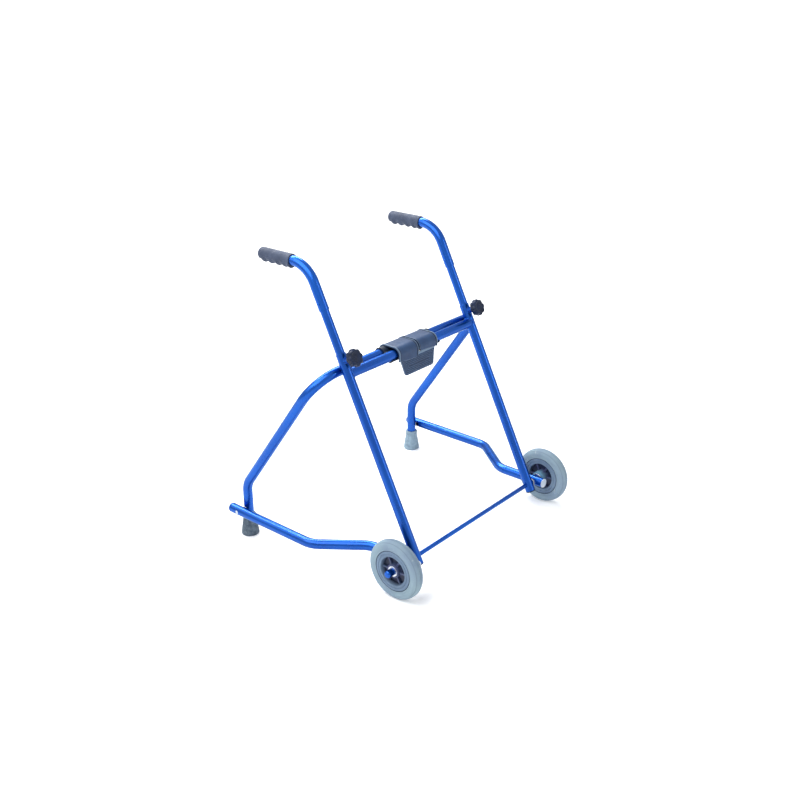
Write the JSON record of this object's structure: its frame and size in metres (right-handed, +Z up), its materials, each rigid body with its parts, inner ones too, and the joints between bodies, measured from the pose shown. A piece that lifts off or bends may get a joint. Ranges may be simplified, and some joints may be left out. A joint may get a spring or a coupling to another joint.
{
  "type": "two-wheeled walker",
  "caption": "Folding walking frame with front wheels, rubber rear feet, side rails, a clip at the fold and height-adjustable handles.",
  "frame": {"origin": "on the floor, below the middle of the whole object", "axes": "+Z up, -Y towards the wheels, which is the way the frame is pushed, and -X to the right of the person who walks behind it"},
  "size_m": [0.739, 0.5992, 0.7484],
  "materials": {
    "blue_paint": "gloss",
    "zinc": "satin",
    "grey_tyre": "matt",
    "grey_rim": "satin",
    "dark_plastic": "satin",
    "slate_plastic": "satin",
    "slate_grip": "matt",
    "grey_rubber": "matt",
    "white_plastic": "satin"
  },
  "bodies": {
    "front_frame": {"upright_right": "blue_paint", "upright_left": "blue_paint", "upright_plug_right": "dark_plastic", "upright_plug_left": "dark_plastic", "front_cross_tube": "blue_paint", "clamp_boss_right": "blue_paint", "clamp_boss_left": "blue_paint", "axle_rod": "blue_paint", "axle_cap_right": "blue_paint", "axle_cap_left": "blue_paint", "wheel_washer_right": "zinc", "wheel_washer_left": "zinc", "inner_washer_right": "zinc", "inner_washer_left": "zinc", "rail_spacer_right": "zinc", "rail_spacer_left": "zinc"},
    "rear_frame": {"rear_leg_tube": "blue_paint", "rubber_foot_right": "grey_rubber", "rubber_foot_left": "grey_rubber", "leg_peg_right": "zinc", "leg_peg_left": "zinc", "clip_saddle": "dark_plastic", "clip_screw_right": "zinc", "clip_screw_left": "zinc"},
    "cover": {"clip_cover": "slate_plastic"},
    "rail_right": {"side_rail_right": "blue_paint", "rail_front_plug_right": "white_plastic", "rail_rear_cap_right": "blue_paint"},
    "rail_left": {"side_rail_left": "blue_paint", "rail_front_plug_left": "white_plastic", "rail_rear_cap_left": "blue_paint"},
    "wheel_right": {"tyre_right": "grey_tyre", "wheel_rim_right": "grey_rim", "wheel_sleeve_right": "dark_plastic"},
    "wheel_left": {"tyre_left": "grey_tyre", "wheel_rim_left": "grey_rim", "wheel_sleeve_left": "dark_plastic"},
    "handle_right": {"handle_tube_right": "blue_paint", "handle_stem_right": "blue_paint", "handle_rivet_right": "blue_paint", "grip_right": "slate_grip"},
    "handle_left": {"handle_tube_left": "blue_paint", "handle_stem_left": "blue_paint", "handle_rivet_left": "blue_paint", "grip_left": "slate_grip"},
    "knob_right": {"clamp_knob_right": "dark_plastic", "knob_screw_right": "zinc", "knob_washer_right": "zinc"},
    "knob_left": {"clamp_knob_left": "dark_plastic", "knob_screw_left": "zinc", "knob_washer_left": "zinc"}
  },
  "joints": [
    {"name": "fold", "type": "hinge", "parent": "front_frame", "child": "rear_frame", "pos_m": [0, -0.019, 0.48918], "axis": [-1, 0, 0], "range_deg": [0, 46]},
    {"name": "clip_cover_open", "type": "hinge", "parent": "rear_frame", "child": "cover", "pos_m": [0, 0.011, 0.48918], "axis": [-1, 0, 0], "range_deg": [0, 70]},
    {"name": "rail_right_lift", "type": "hinge", "parent": "front_frame", "child": "rail_right", "pos_m": [-0.268, -0.2246, 0.075], "axis": [1, 0, 0], "range_deg": [0, 63.1]},
    {"name": "rail_left_lift", "type": "hinge", "parent": "front_frame", "child": "rail_left", "pos_m": [0.268, -0.2246, 0.075], "axis": [1, 0, 0], "range_deg": [0, 63.1]},
    {"name": "wheel_right_spin", "type": "hinge", "parent": "front_frame", "child": "wheel_right", "pos_m": [-0.31, -0.2246, 0.075], "axis": [1, 0, 0], "continuous": true},
    {"name": "wheel_left_spin", "type": "hinge", "parent": "front_frame", "child": "wheel_left", "pos_m": [0.31, -0.2246, 0.075], "axis": [1, 0, 0], "continuous": true},
    {"name": "handle_right_height", "type": "slide", "parent": "front_frame", "child": "handle_right", "axis": [0, 0.4446, 0.8957], "range_m": [-0.1, 0.07]},
    {"name": "handle_left_height", "type": "slide", "parent": "front_frame", "child": "handle_left", "axis": [0, 0.4446, 0.8957], "range_m": [-0.1, 0.07]},
    {"name": "knob_right_turn", "type": "hinge", "parent": "front_frame", "child": "knob_right", "pos_m": [-0.238, -0.00495, 0.51748], "axis": [0, -0.8957, 0.4446], "range_deg": [0, 360]},
    {"name": "knob_left_turn", "type": "hinge", "parent": "front_frame", "child": "knob_left", "pos_m": [0.238, -0.00495, 0.51748], "axis": [0, -0.8957, 0.4446], "range_deg": [0, 360]}
  ],
  "couplings": [
    {"joint": "rail_right_lift", "follows": "fold", "ratio": 1.37},
    {"joint": "rail_left_lift", "follows": "fold", "ratio": 1.37}
  ]
}
